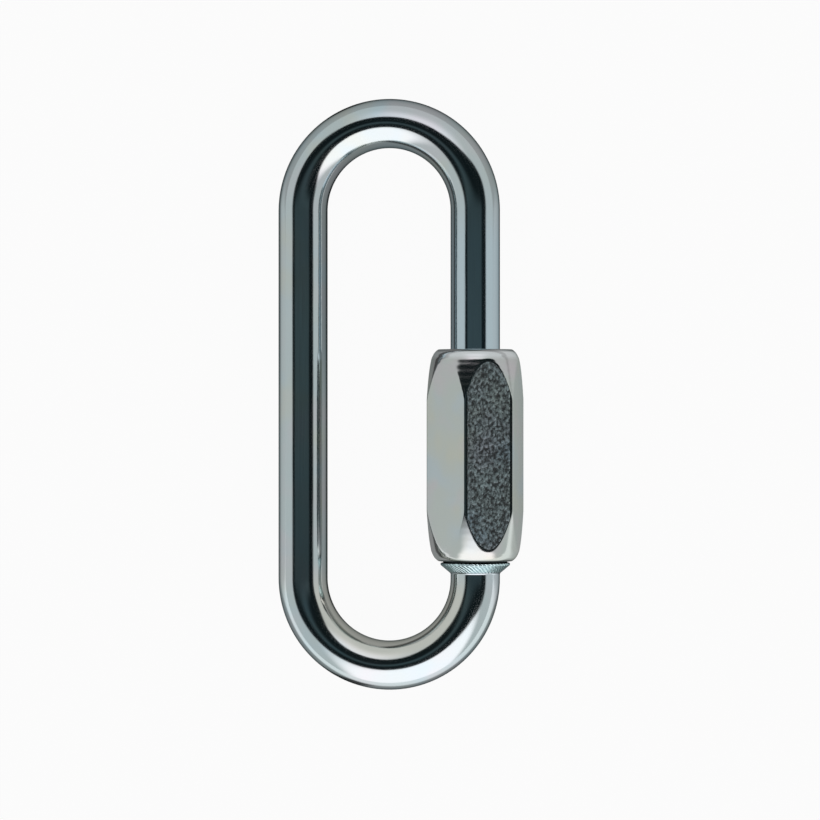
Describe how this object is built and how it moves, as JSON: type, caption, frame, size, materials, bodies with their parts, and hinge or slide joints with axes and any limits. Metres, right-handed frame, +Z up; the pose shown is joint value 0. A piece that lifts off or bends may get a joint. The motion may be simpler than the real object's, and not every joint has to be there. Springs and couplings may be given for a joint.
{
  "type": "chain quick link",
  "caption": "Long oval link of bent round bar, closed by a hexagonal sleeve nut that screws along one leg to open and shut the gate.",
  "frame": {"origin": "middle of the link's footprint, on the surface it lies on", "axes": "+Y along the link's length, towards the end that the nut opens to; +X towards the leg with the nut; +Z up"},
  "size_m": [0.035, 0.084, 0.014],
  "materials": {
    "bar_plating": "gloss",
    "nut_plating": "satin"
  },
  "bodies": {
    "link": {"link_body": "bar_plating"},
    "nut": {"sleeve_nut": "nut_plating"}
  },
  "joints": [
    {"name": "nut_travel", "type": "slide", "parent": "link", "child": "nut", "axis": [0, 1, 0], "range_m": [0, 0.018]}
  ]
}
